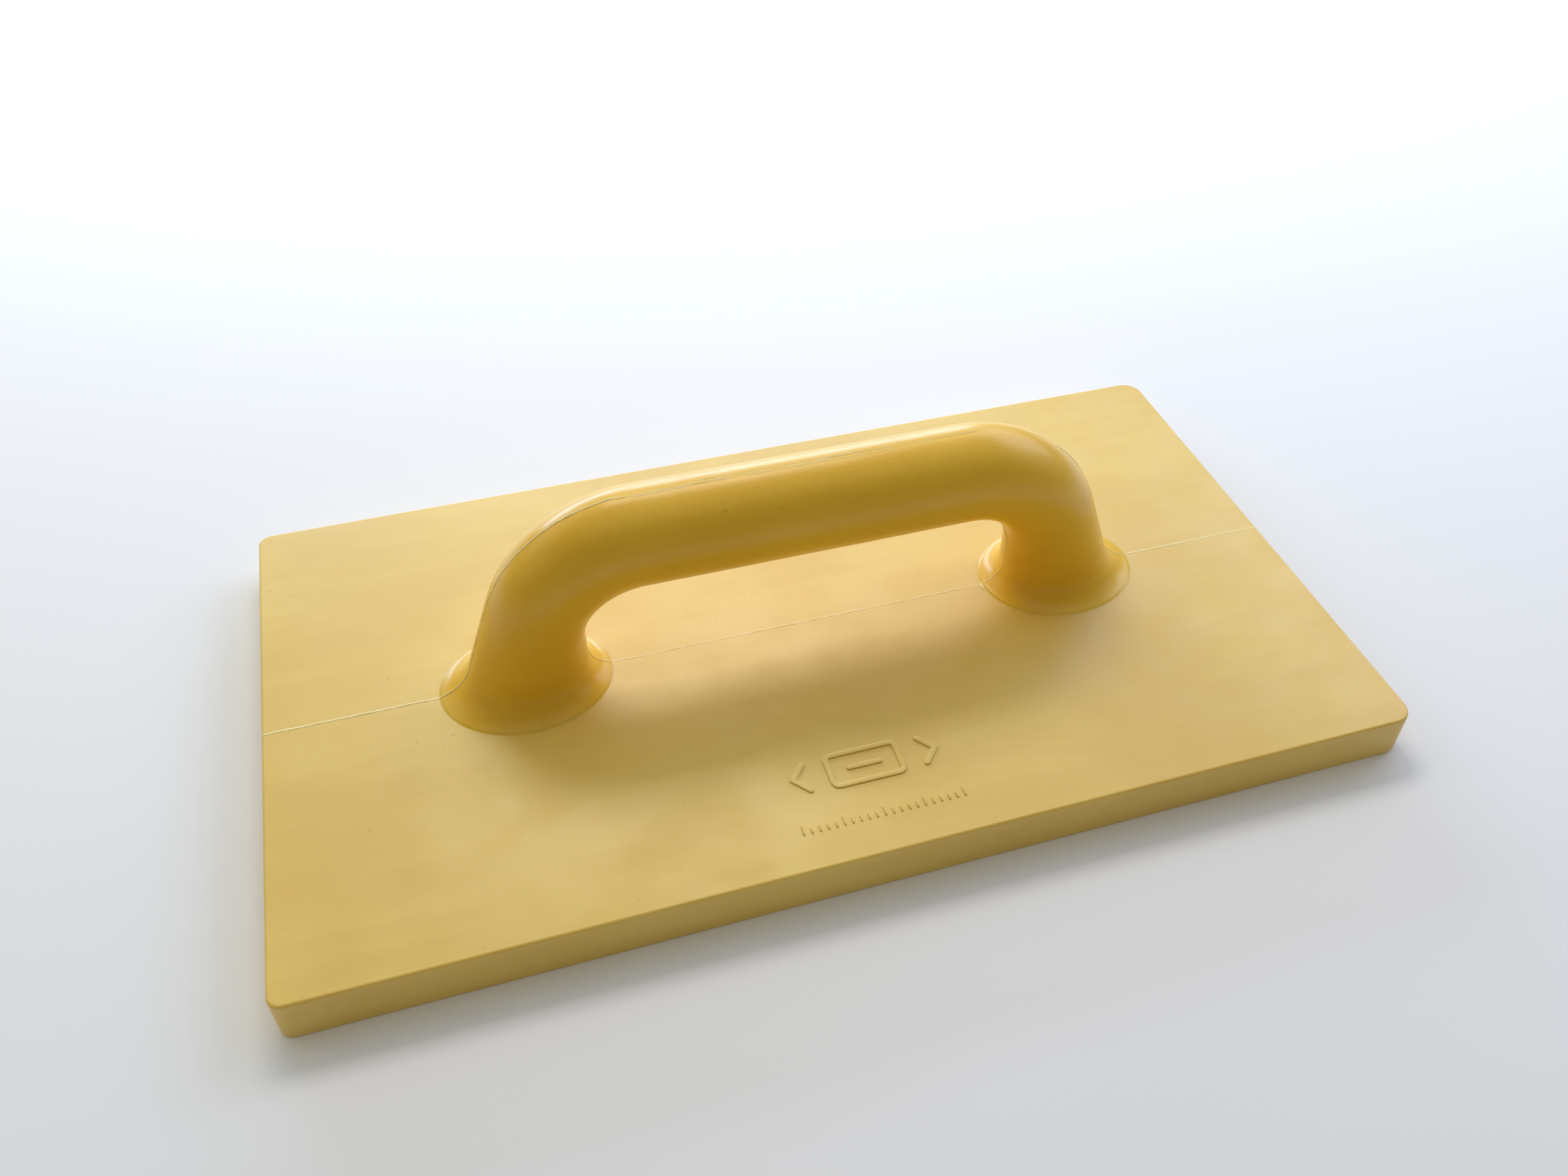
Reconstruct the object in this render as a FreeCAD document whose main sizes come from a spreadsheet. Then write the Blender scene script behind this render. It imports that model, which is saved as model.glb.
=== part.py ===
import FreeCAD, Part
import Sketcher
import os

# A one-shot moulded plastering float: a flat board and a bow handle, both a dense skin round a foam core.
# Row frame: origin at the middle of the sole, +X along the board, +Y across it, +Z up through the handle.
# Millimetres throughout. Every driving dimension is a cell of the spreadsheet, with its meaning beside it.

DIMENSIONS = [
    ("board_length", 360, "nominal size of the board along X"),
    ("board_width", 200, "nominal size of the board along Y"),
    ("board_thickness", 16, "sole to top face"),
    ("left_corner_radius", 4.5, "upright corners at the -X end"),
    ("right_corner_radius", 7, "upright corners at the +X end"),
    ("top_edge_radius", 1, "rounding round the top face"),
    ("sole_edge_radius", 0.4, "rounding round the sole"),
    ("skin_thickness", 2, "dense skin, board and handle"),
    ("core_corner_radius", 3, "upright corners of the board's core"),
    ("grip_radius", 16.25, "round grip"),
    ("grip_rise", 53.6, "grip axis above the top face"),
    ("bend_offset", 54.6, "middle of the handle to the centre of a bend, along X"),
    ("bend_radius", 36.4, "bend of the grip axis"),
    ("bend_angle", 70, "turn of a bend before its leg starts"),
    ("flare_radius", 11, "hollow sweep from a leg out to its rim"),
    ("flare_angle", 63, "turn of that sweep before it meets the rim"),
    ("rim_lip", 0.5, "how far the rim stands out past the sweep"),
    ("rim_edge_radius", 0.4, "rounding round the top of a rim"),
    ("mark_relief", 0.5, "height of the raised mark"),
    ("mark_stroke", 1.9, "width of the mark's bold strokes"),
    ("mark_row", -66.3, "middle of the bold row along Y"),
    ("mark_height", 14, "height of the bold row"),
    ("mark_plan_length", 25, "length of the outline of a board in the bold row"),
    ("mark_bar_length", 12, "length of the handle bar inside that outline"),
    ("chevron_offset", 21, "middle of the mark to a chevron"),
    ("chevron_arm", 8.6, "length of a chevron's arm"),
    ("chevron_slope", 50, "slope of a chevron's arm to X, in degrees"),
    ("tick_row", -85.1, "middle of the row of ticks along Y"),
    ("tick_pitch", 2.6, "spacing of the ticks"),
    ("tick_width", 0.6, "width of a tick"),
    ("tick_height", 2.4, "height of a plain tick"),
    ("long_tick_height", 3.7, "height of every fifth tick"),
]
BEND_STATIONS = 4  # cross-sections from the end of a bend to level ground, after the first
FLARE_STATIONS = 6  # cross-sections down a flare, after the first
TICKS = 21
LONG_TICK_EVERY = 5
EDGE_TOLERANCE = 1e-4
FULLY_ROUND = 0.49  # share of a stroke's width that its ends are rounded by

doc = FreeCAD.newDocument("plastering_float")
sheet = doc.addObject("Spreadsheet::Sheet", "sizes")
for row, (alias, value, meaning) in enumerate(DIMENSIONS, start=1):
    sheet.set(f"A{row}", alias)
    sheet.set(f"B{row}", str(value))
    sheet.set(f"C{row}", meaning)
    sheet.setAlias(f"B{row}", alias)
doc.recompute()


def cell(alias):
    """Value of a driving dimension, for features that can't be bound to a cell."""
    return float(getattr(sheet, alias))


def bind(feature, expressions):
    """Binds a feature's properties to expressions in the spreadsheet's names."""
    for property_path, expression in expressions.items():
        feature.setExpression(property_path, expression)
    return feature


def add(kind, name, expressions=None, **properties):
    """A new document object with its label, properties and bound sizes."""
    feature = doc.addObject(kind, name)
    feature.Label = name
    for key, value in properties.items():
        setattr(feature, key, value)
    return bind(feature, expressions or {})


def upright_edges(shape, low_x, high_x):
    """Names of the straight edges along Z whose X lies between two values."""
    names = []
    for number, edge in enumerate(shape.Edges, start=1):
        box = edge.BoundBox
        upright = box.XLength < EDGE_TOLERANCE and box.YLength < EDGE_TOLERANCE
        if upright and low_x <= box.Center.x <= high_x:
            names.append(f"Edge{number}")
    return names


def level_edges(shape, height):
    """Names of the edges that lie at one height."""
    names = []
    for number, edge in enumerate(shape.Edges, start=1):
        box = edge.BoundBox
        if box.ZLength < EDGE_TOLERANCE and abs(box.Center.z - height) < EDGE_TOLERANCE:
            names.append(f"Edge{number}")
    return names


def body_plane(body, role):
    """One of a body's own origin planes."""
    return next(plane for plane in body.Origin.OriginFeatures if plane.Role == role)


def rectangle_sketch(body, name, length, width):
    """A rectangle centred on the origin, sized by two expressions, on the body's XY plane."""
    sketch = body.newObject("Sketcher::SketchObject", name)
    sketch.AttachmentSupport = [(body_plane(body, "XY_Plane"), "")]
    sketch.MapMode = "FlatFace"
    corners = [FreeCAD.Vector(x, y, 0) for x, y in ((-9, -5), (9, -5), (9, 5), (-9, 5))]
    for start, end in zip(corners, corners[1:] + corners[:1]):
        sketch.addGeometry(Part.LineSegment(start, end), False)
    for line in range(4):
        sketch.addConstraint(Sketcher.Constraint("Coincident", line, 2, (line + 1) % 4, 1))
    for line, direction in enumerate(("Horizontal", "Vertical", "Horizontal", "Vertical")):
        sketch.addConstraint(Sketcher.Constraint(direction, line))
    sketch.addConstraint(Sketcher.Constraint("Symmetric", 0, 1, 2, 1, -1, 1))
    sketch.addConstraint(Sketcher.Constraint("DistanceX", 0, 1, 0, 2, 18))
    sketch.renameConstraint(sketch.ConstraintCount - 1, "length")
    sketch.addConstraint(Sketcher.Constraint("DistanceY", 1, 1, 1, 2, 10))
    sketch.renameConstraint(sketch.ConstraintCount - 1, "width")
    bind(sketch, {"Constraints.length": length, "Constraints.width": width})
    return sketch


def round_edges(body, name, edges, radius):
    """A fillet on named edges of the body's tip."""
    rounded = body.Tip
    fillet = body.newObject("PartDesign::Fillet", name)
    fillet.Base = (rounded, edges)
    fillet.setExpression("Radius", radius)
    doc.recompute()
    return fillet


def board_blank():
    """The board's outer shape: a slab with rounded corners and edges."""
    body = add("PartDesign::Body", "board_blank")
    outline = rectangle_sketch(body, "board_outline", "sizes.board_length", "sizes.board_width")
    slab = body.newObject("PartDesign::Pad", "board_slab")
    slab.Profile = outline
    slab.setExpression("Length", "sizes.board_thickness")
    doc.recompute()
    half = cell("board_length") / 2 + 1
    round_edges(body, "left_corners", upright_edges(body.Shape, -half, 0), "sizes.left_corner_radius")
    round_edges(body, "right_corners", upright_edges(body.Shape, 0, half), "sizes.right_corner_radius")
    top = level_edges(body.Shape, cell("board_thickness"))
    round_edges(body, "top_edge", top, "sizes.top_edge_radius")
    round_edges(body, "sole_edge", level_edges(body.Shape, 0), "sizes.sole_edge_radius")
    return body


def board_core():
    """The foam inside the board, a skin's thickness in from every face."""
    body = add("PartDesign::Body", "board_core")
    outline = rectangle_sketch(
        body,
        "core_outline",
        "sizes.board_length - 2 * sizes.skin_thickness",
        "sizes.board_width - 2 * sizes.skin_thickness",
    )
    outline.setExpression("AttachmentOffset.Base.z", "sizes.skin_thickness")
    slab = body.newObject("PartDesign::Pad", "core_slab")
    slab.Profile = outline
    slab.setExpression("Length", "sizes.board_thickness - 2 * sizes.skin_thickness")
    doc.recompute()
    half = cell("board_length") / 2
    round_edges(body, "core_corners", upright_edges(body.Shape, -half, half), "sizes.core_corner_radius")
    return body


def bend_height():
    """Expression for the height of the two bend centres."""
    return "(sizes.board_thickness + sizes.grip_rise - sizes.bend_radius)"


def across_bend(name, turn, inset):
    """Cross-section of a leg in the plane that a bend has turned to.

    The leg's outer side runs straight on from the end of the bend and its inner side keeps to the bend, so
    the section grows as the plane turns. inset is how far inside the outer surface it lies.
    """
    outer = f"((sizes.bend_radius + sizes.grip_radius) / cos({turn} - sizes.bend_angle) - {inset})"
    inner = f"(sizes.bend_radius - sizes.grip_radius + {inset})"
    reach = f"({outer} + {inner}) / 2"
    return add(
        "Part::Ellipse",
        name,
        {
            "MajorRadius": f"({outer} - {inner}) / 2",
            "MinorRadius": f"sizes.grip_radius - {inset}",
            "Placement.Base.x": f"sizes.bend_offset + {reach} * sin({turn})",
            "Placement.Base.z": f"{bend_height()} + {reach} * cos({turn})",
            "Placement.Rotation.Angle": f"{turn} - 90",
        },
        Placement=FreeCAD.Placement(FreeCAD.Vector(), FreeCAD.Rotation(FreeCAD.Vector(0, 1, 0), -1)),
    )


def level_section(name, height, spread, inset):
    """Level cross-section of a leg at a height above the sole, spread by a flare and inset by a skin."""
    outer = (
        "(sizes.bend_offset + (sizes.bend_radius + sizes.grip_radius) / sin(sizes.bend_angle)"
        f" + ({bend_height()} - {height}) / tan(sizes.bend_angle) + {spread} - {inset})"
    )
    inner = f"(sizes.bend_offset + sizes.bend_radius - sizes.grip_radius - {spread} + {inset})"
    return add(
        "Part::Ellipse",
        name,
        {
            "MajorRadius": f"({outer} - {inner}) / 2",
            "MinorRadius": f"sizes.grip_radius + {spread} - {inset}",
            "Placement.Base.x": f"({outer} + {inner}) / 2",
            "Placement.Base.z": height,
        },
    )


def leg(name, inset, foot_height):
    """A leg from the end of its bend down to a height, lofted through cross-sections."""
    start = add(
        "Part::Circle",
        f"{name}_section_0",
        {
            "Radius": f"sizes.grip_radius - {inset}",
            "Placement.Base.x": "sizes.bend_offset + sizes.bend_radius * sin(sizes.bend_angle)",
            "Placement.Base.z": f"{bend_height()} + sizes.bend_radius * cos(sizes.bend_angle)",
            "Placement.Rotation.Angle": "sizes.bend_angle - 90",
        },
        Placement=FreeCAD.Placement(FreeCAD.Vector(), FreeCAD.Rotation(FreeCAD.Vector(0, 1, 0), -1)),
    )
    sections = [start]
    for number in range(1, BEND_STATIONS + 1):
        turn = f"(sizes.bend_angle + (90 - sizes.bend_angle) * {number} / {BEND_STATIONS})"
        sections.append(across_bend(f"{name}_section_{number}", turn, inset))
    sections.append(level_section(f"{name}_foot_section", foot_height, "0", inset))
    return add("Part::Loft", name, Sections=sections, Solid=True, Ruled=False)


def flare():
    """The hollow sweep at the bottom of a leg, from the leg's own size out to its rim."""
    sections = []
    for number in range(FLARE_STATIONS + 1):
        turn = f"(sizes.flare_angle * {number} / {FLARE_STATIONS})"
        height = f"(sizes.board_thickness + sizes.flare_radius * (1 - sin({turn})))"
        spread = f"(sizes.flare_radius * (1 - cos({turn})))"
        sections.append(level_section(f"flare_section_{number}", height, spread, "0"))
    return add("Part::Loft", "flare", Sections=sections, Solid=True, Ruled=False)


def rim():
    """The thin round-edged foot that stands on the board."""
    spread = "(sizes.flare_radius * (1 - cos(sizes.flare_angle)) + sizes.rim_lip)"
    outline = level_section("rim_outline", "sizes.board_thickness", spread, "0")
    plate = add(
        "Part::Extrusion",
        "rim_plate",
        {"LengthFwd": "sizes.flare_radius * (1 - sin(sizes.flare_angle))"},
        Base=outline,
        DirMode="Custom",
        Dir=FreeCAD.Vector(0, 0, 1),
        Solid=True,
    )
    doc.recompute()
    edges = level_edges(plate.Shape, plate.Shape.BoundBox.ZMax)
    radius = cell("rim_edge_radius")
    return add(
        "Part::Fillet",
        "rim",
        Base=plate,
        Edges=[(int(edge.removeprefix("Edge")), radius, radius) for edge in edges],
    )


def bend(name, inset):
    """The round bend between the grip and a leg."""
    cycle_axes = FreeCAD.Rotation(FreeCAD.Vector(1, 1, 1), -120)  # torus axis to Y, its start to Z
    return add(
        "Part::Torus",
        name,
        {
            "Radius1": "sizes.bend_radius",
            "Radius2": f"sizes.grip_radius - {inset}",
            "Angle3": "sizes.bend_angle",
            "Placement.Base.x": "sizes.bend_offset",
            "Placement.Base.z": bend_height(),
        },
        Placement=FreeCAD.Placement(FreeCAD.Vector(), cycle_axes),
    )


def grip(name, inset):
    """The straight round grip along X."""
    return add(
        "Part::Cylinder",
        name,
        {
            "Radius": f"sizes.grip_radius - {inset}",
            "Height": "2 * sizes.bend_offset",
            "Placement.Base.x": "-sizes.bend_offset",
            "Placement.Base.z": "sizes.board_thickness + sizes.grip_rise",
        },
        Placement=FreeCAD.Placement(FreeCAD.Vector(), FreeCAD.Rotation(FreeCAD.Vector(0, 1, 0), 90)),
    )


def mirrored(feature):
    """The same feature on the other side of the YZ plane."""
    return add("Part::Mirroring", f"{feature.Name}_mirrored", Source=feature, Normal=FreeCAD.Vector(1, 0, 0))


def bow(name, grip_part, right_side):
    """A grip with its right-hand pieces and their mirror images, fused."""
    pieces = [grip_part] + right_side + [mirrored(piece) for piece in right_side]
    return add("Part::MultiFuse", name, Shapes=pieces, Refine=False)


def stroke(name, length, width, expressions):
    """A raised bar with round ends, centred on its own X axis before it is placed."""
    box = add(
        "Part::Box",
        f"{name}_box",
        {
            "Length": length,
            "Width": width,
            "Height": "sizes.mark_relief",
            "Placement.Base.x": f"-({length}) / 2",
            "Placement.Base.y": f"-({width}) / 2",
        },
    )
    doc.recompute()
    radius = FULLY_ROUND * float(box.Width)
    edges = [int(edge.removeprefix("Edge")) for edge in upright_edges(box.Shape, -1e3, 1e3)]
    rounded = add("Part::Fillet", f"{name}_bar", Base=box, Edges=[(edge, radius, radius) for edge in edges])
    return add("Part::Compound", name, expressions, Links=[rounded])


def rounded_plate(name, length, width, radius):
    """A raised plate with rounded corners, centred on the bold row."""
    box = add(
        "Part::Box",
        f"{name}_box",
        {
            "Length": length,
            "Width": width,
            "Height": "sizes.mark_relief",
            "Placement.Base.x": f"-({length}) / 2",
            "Placement.Base.y": f"sizes.mark_row - ({width}) / 2",
            "Placement.Base.z": "sizes.board_thickness",
        },
    )
    doc.recompute()
    edges = [int(edge.removeprefix("Edge")) for edge in upright_edges(box.Shape, -1e3, 1e3)]
    return add("Part::Fillet", name, Base=box, Edges=[(edge, radius, radius) for edge in edges])


def chevron(name, side):
    """Two strokes that meet in a point, on one side of the bold row; side is -1 or 1."""
    arms = []
    for lift in (-1, 1):
        arm = stroke(
            f"{name}_arm_{'upper' if lift > 0 else 'lower'}",
            "sizes.chevron_arm",
            "sizes.mark_stroke",
            {
                "Placement.Base.x": f"{side} * sizes.chevron_offset",
                "Placement.Base.y": (
                    f"sizes.mark_row + {lift} * (sizes.chevron_arm - sizes.mark_stroke) / 2"
                    " * sin(sizes.chevron_slope)"
                ),
                "Placement.Base.z": "sizes.board_thickness",
            },
        )
        slope = -side * lift * cell("chevron_slope")
        arm.Placement.Rotation = FreeCAD.Rotation(FreeCAD.Vector(0, 0, 1), slope)
        arms.append(arm)
    return add("Part::MultiFuse", name, Shapes=arms)


def size_mark():
    """The raised mark: a board seen from above between two chevrons, over a row of ticks."""
    stroke_width = cell("mark_stroke")
    outer = rounded_plate("plan_outer", "sizes.mark_plan_length", "sizes.mark_height", 1.5 * stroke_width)
    inner = rounded_plate(
        "plan_inner",
        "sizes.mark_plan_length - 2 * sizes.mark_stroke",
        "sizes.mark_height - 2 * sizes.mark_stroke",
        0.5 * stroke_width,
    )
    plan = add("Part::Cut", "plan_ring", Base=outer, Tool=inner)
    at_row = {"Placement.Base.y": "sizes.mark_row", "Placement.Base.z": "sizes.board_thickness"}
    bar = stroke("plan_bar", "sizes.mark_bar_length", "sizes.mark_stroke", at_row)
    pieces = [plan, bar, chevron("left_chevron", -1), chevron("right_chevron", 1)]
    for number in range(TICKS):
        long_tick = number % LONG_TICK_EVERY == 0
        height = "sizes.long_tick_height" if long_tick else "sizes.tick_height"
        offset = number - (TICKS - 1) / 2
        tick = add(
            "Part::Box",
            f"tick_{number}",
            {
                "Length": "sizes.tick_width",
                "Width": height,
                "Height": "sizes.mark_relief",
                "Placement.Base.x": f"{offset} * sizes.tick_pitch - sizes.tick_width / 2",
                "Placement.Base.y": "sizes.tick_row - sizes.long_tick_height / 2",
                "Placement.Base.z": "sizes.board_thickness",
            },
        )
        pieces.append(tick)
    return add("Part::Compound", "size_mark", Links=pieces)


blank = board_blank()
foam_in_board = board_core()

flare_top = "(sizes.board_thickness + sizes.flare_radius)"
handle_outside = bow(
    "handle_outside",
    grip("grip_outside", "0"),
    [bend("bend_outside", "0"), leg("leg_outside", "0", flare_top), flare(), rim()],
)
core_foot = "(sizes.board_thickness - sizes.skin_thickness)"
foam_in_handle = bow(
    "handle_core",
    grip("grip_core", "sizes.skin_thickness"),
    [bend("bend_core", "sizes.skin_thickness"), leg("leg_core", "sizes.skin_thickness", core_foot)],
)
doc.recompute()

cores = add("Part::MultiFuse", "all_foam", Shapes=[foam_in_board, foam_in_handle])
board_skin = add("Part::Cut", "board_skin", Base=blank, Tool=cores)
handle_skin = add("Part::Cut", "handle_skin", Base=handle_outside, Tool=foam_in_handle)
mark = size_mark()
doc.recompute()

NODES = [board_skin, foam_in_board, handle_skin, foam_in_handle, mark]

for feature in doc.Objects:
    if "Invalid" in feature.State or "Error" in feature.State:
        raise RuntimeError(f"{feature.Label} failed to compute: {feature.State}")
for node in NODES:
    if node.Shape.isNull() or not node.Shape.isValid():
        raise RuntimeError(f"{node.Label} has no valid shape")

os.makedirs("parts", exist_ok=True)
for node in NODES:
    node.Shape.exportStep(f"parts/{node.Label}.step")
    box = node.Shape.BoundBox
    print(
        f"{node.Label}: {len(node.Shape.Solids)} solids, {node.Shape.Volume / 1000:.2f} cm3, "
        f"{box.XLength:.2f} x {box.YLength:.2f} x {box.ZLength:.2f} mm, z {box.ZMin:.2f} to {box.ZMax:.2f}"
    )
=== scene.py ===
"""Visual model of a one-shot moulded plastering float, built over its CAD frame.

Lengths are in metres. The origin is the middle of the sole, X runs along the board and its handle, Y
across the board, away from the raised mark, and Z up through the handle.
"""

import logging
import math
from dataclasses import dataclass, replace
from enum import Enum

import bmesh
import bpy
from mathutils import Matrix, Quaternion, Vector


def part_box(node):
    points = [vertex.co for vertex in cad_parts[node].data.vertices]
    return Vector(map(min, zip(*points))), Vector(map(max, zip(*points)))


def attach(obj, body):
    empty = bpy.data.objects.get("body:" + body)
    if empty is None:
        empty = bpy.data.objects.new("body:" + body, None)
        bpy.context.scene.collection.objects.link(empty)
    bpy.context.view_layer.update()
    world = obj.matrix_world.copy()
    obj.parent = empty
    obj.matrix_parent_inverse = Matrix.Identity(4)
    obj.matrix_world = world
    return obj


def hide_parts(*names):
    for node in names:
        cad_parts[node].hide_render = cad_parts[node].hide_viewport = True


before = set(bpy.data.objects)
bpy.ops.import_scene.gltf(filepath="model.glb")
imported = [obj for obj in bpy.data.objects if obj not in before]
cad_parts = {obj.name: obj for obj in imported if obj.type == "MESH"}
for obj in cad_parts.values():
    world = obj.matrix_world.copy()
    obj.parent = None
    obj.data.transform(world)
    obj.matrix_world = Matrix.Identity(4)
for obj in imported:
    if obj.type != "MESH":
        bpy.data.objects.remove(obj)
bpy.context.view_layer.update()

log = logging.getLogger("float")

BODY = "root"
MM = 0.001
UP = Vector((0, 0, 1))
ACROSS = Vector((0, 1, 0))
ALONG = Vector((1, 0, 0))

MATT = 0.9  # roughness of paper and of cut foam
LEAST_RAG = 0.15  # share of a ridge's height that its raggedness leaves
DOUBLES_GAP = 1e-7  # points nearer than this are one
SHORTEST_EDGE = 1e-8
CORNERS = {(1, 1): 0, (-1, 1): 90, (-1, -1): 180, (1, -1): 270}  # signs of X and Y, and where each starts

Colour = tuple[float, float, float]
Socket = bpy.types.NodeSocket
Object = bpy.types.Object
Material = bpy.types.Material


class Slot(Enum):
    """Material slots of the pieces that are made here."""

    BOARD = "board_skin"
    HANDLE = "handle_skin"


class Side(Enum):
    """The two ends of the float, as signs along X."""

    LEFT = -1
    RIGHT = 1


# ---------------------------------------------------------------- node trees


class Tree:
    """A node tree with short calls for adding nodes and joining their sockets."""

    VECTOR_PLACES = {"a": 0, "b": 1, "scale": "Scale"}

    def __init__(self, tree: bpy.types.NodeTree) -> None:
        """Wraps a tree, which may hold nodes already."""
        self.tree = tree

    def node(self, kind: str, inputs: dict | None = None, **settings) -> bpy.types.Node:
        """Adds a node.

        Args:
            kind: The node's type.
            inputs: Socket name or index to a value, or to an output socket to join.
            settings: Properties of the node itself.

        Returns:
            The new node.
        """
        node = self.tree.nodes.new(kind)
        for name, value in settings.items():
            setattr(node, name, value)
        for key, value in (inputs or {}).items():
            socket = node.inputs[key]
            if isinstance(value, Socket):
                self.tree.links.new(value, socket)
            else:
                socket.default_value = (*value, 1) if socket.type == "RGBA" else value
        return node

    def out(self, kind: str, inputs: dict | None = None, **settings) -> Socket:
        """Adds a node, as node does, and gives its first output."""
        return self.node(kind, inputs, **settings).outputs[0]

    def math(self, operation: str, *values) -> Socket:
        """Joins up to three numbers or sockets with one Math node."""
        return self.out("ShaderNodeMath", dict(enumerate(values)), operation=operation)

    def vector(self, operation: str, **inputs) -> Socket:
        """Joins vectors with one Vector Math node, whose inputs are a, b and scale."""
        joined = {self.VECTOR_PLACES[name]: value for name, value in inputs.items()}
        return self.out("ShaderNodeVectorMath", joined, operation=operation)

    def noise(self, place: Socket, scale: float, detail: float) -> Socket:
        """Reads noise of about 0 to 1 at a place, with so many features per metre."""
        return self.out("ShaderNodeTexNoise", {"Vector": place, "Scale": scale, "Detail": detail})

    def cells(self, place: Socket, scale: float) -> Socket:
        """Reads the distance from the middle of the nearest cell, with so many cells per metre."""
        node = self.node("ShaderNodeTexVoronoi", {"Vector": place, "Scale": scale}, feature="F1")
        return node.outputs["Distance"]

    def bump(self, height: Socket, depth: float) -> Socket:
        """Turns a height into the surface's normal."""
        return self.out("ShaderNodeBump", {"Height": height, "Distance": depth, "Strength": 1.0})

    def ranged(self, value, low: float, high: float, to_low=0.0, to_high=1.0) -> Socket:
        """Maps the range from low to high smoothly onto another, held at both ends."""
        inputs = {"Value": value, "From Min": low, "From Max": high, "To Min": to_low, "To Max": to_high}
        return self.out("ShaderNodeMapRange", inputs, interpolation_type="SMOOTHSTEP")

    def mix(self, share, first, second) -> Socket:
        """Mixes two colours, by how much of the second shows."""
        return self.node("ShaderNodeMix", {0: share, 6: first, 7: second}, data_type="RGBA").outputs[2]


# ---------------------------------------------------------------- finishes


@dataclass(frozen=True)
class Finish:
    """A plain matt material, and what every other material here starts from.

    Attributes:
        name: The material's name.
        pale: Its colour, or the lightest of its colours.
    """

    name: str
    pale: Colour

    def surface(self, tree: Tree, place: Socket) -> dict[str, object]:
        """The shader's inputs, by name, from the tree and the Object coordinates."""
        return {"Base Color": self.pale, "Roughness": MATT}

    def make(self) -> Material:
        """Builds the material.

        Returns:
            The new material.
        """
        material = bpy.data.materials.new(self.name)
        material.use_nodes = True
        material.node_tree.nodes.clear()
        tree = Tree(material.node_tree)
        place = tree.node("ShaderNodeTexCoord").outputs["Object"]
        shader = tree.node("ShaderNodeBsdfPrincipled", self.surface(tree, place))
        tree.node("ShaderNodeOutputMaterial", {"Surface": shader.outputs[0]})
        material.diffuse_color = (*self.pale, 1)
        return material


@dataclass(frozen=True)
class PolyurethaneSkin(Finish):
    """Dense moulded polyurethane: cloudy colour, fine grain, a few gas pinholes and a soft sheen.

    Attributes:
        deep: Colour of the darker clouds.
        speck: Colour of the scattered specks.
        roughness: Lowest and highest roughness.
        grain: Depth of the fine grain, in metres.
        density: Index of refraction.
        specular: Strength of the surface's own reflection.
        depth: How far light travels inside, in metres.
        glow: How much of the light travels inside.
        gloss: Strength of the clear outer layer.
        gloss_roughness: Roughness of that layer.
        bloom: Strength of the chalky haze on the surface.
        clouds: Clouds per metre.
        trimmed: Whether the surface has a scraped band, marked by the attribute "trim".
    """

    deep: Colour
    speck: Colour
    roughness: tuple[float, float]
    grain: float
    density: float
    specular: float
    depth: float
    glow: float = 0.22
    gloss: float = 0.0
    gloss_roughness: float = 0.4
    bloom: float = 0.0
    clouds: float = 13
    trimmed: bool = False

    def colour(self, tree: Tree, place: Socket) -> Socket:
        """The clouds, streaks and specks of the skin.

        Args:
            tree: The material's tree.
            place: Object coordinates.

        Returns:
            The skin's colour.
        """
        drift = tree.noise(place, self.clouds, 3)
        streaks = tree.noise(tree.vector("MULTIPLY", a=place, b=(0.35, 1.6, 1.6)), 5 * self.clouds, 3)
        cloud = tree.math("MULTIPLY_ADD", streaks, 0.3, tree.math("MULTIPLY", drift, 0.7))
        base = tree.mix(tree.ranged(cloud, 0.38, 0.62), self.pale, self.deep)
        freckle = tree.ranged(tree.noise(place, 620, 1), 0.66, 0.78, 0, 0.5)
        scatter = tree.ranged(tree.noise(place, 70, 1), 0.45, 0.65)
        return tree.mix(tree.math("MULTIPLY", freckle, scatter), base, self.speck)

    def relief(self, tree: Tree, place: Socket) -> Socket:
        """The grain, pinholes and slow waviness of the skin, with the scraped band if it has one.

        Args:
            tree: The material's tree.
            place: Object coordinates.

        Returns:
            The surface's normal.
        """
        height = tree.math("MULTIPLY_ADD", tree.noise(place, 260, 2), 1.5, tree.noise(place, 2400, 2))
        sparse = tree.math("GREATER_THAN", tree.noise(place, 55, 0), 0.62)
        hole = tree.math("MULTIPLY", tree.ranged(tree.cells(place, 240), 0.04, 0.1, 1, 0), sparse)
        height = tree.math("MULTIPLY_ADD", hole, -3.0, height)
        if self.trimmed:
            band = tree.node("ShaderNodeAttribute", attribute_name="trim").outputs["Fac"]
            lines = tree.noise(tree.vector("MULTIPLY", a=place, b=(0.03, 1, 1)), 5200, 2)
            height = tree.math("MULTIPLY_ADD", tree.math("MULTIPLY", lines, band), 7.0, height)
        return tree.bump(height, self.grain)

    def surface(self, tree: Tree, place: Socket) -> dict[str, object]:
        """The skin's shader.

        Args:
            tree: The material's tree.
            place: Object coordinates.

        Returns:
            The shader's inputs, by name.
        """
        normal = self.relief(tree, place)
        return {
            "Base Color": self.colour(tree, place),
            "Roughness": tree.ranged(tree.noise(place, 45, 3), 0.35, 0.65, *self.roughness),
            "Normal": normal,
            "IOR": self.density,
            "Specular IOR Level": self.specular,
            "Coat Weight": self.gloss,
            "Coat Roughness": self.gloss_roughness,
            "Coat Normal": normal,
            "Subsurface Weight": self.glow,
            "Subsurface Scale": self.depth,
            "Subsurface Radius": (1.0, 0.55, 0.18),
            "Sheen Weight": self.bloom,
            "Sheen Roughness": 0.6,
        }


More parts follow.
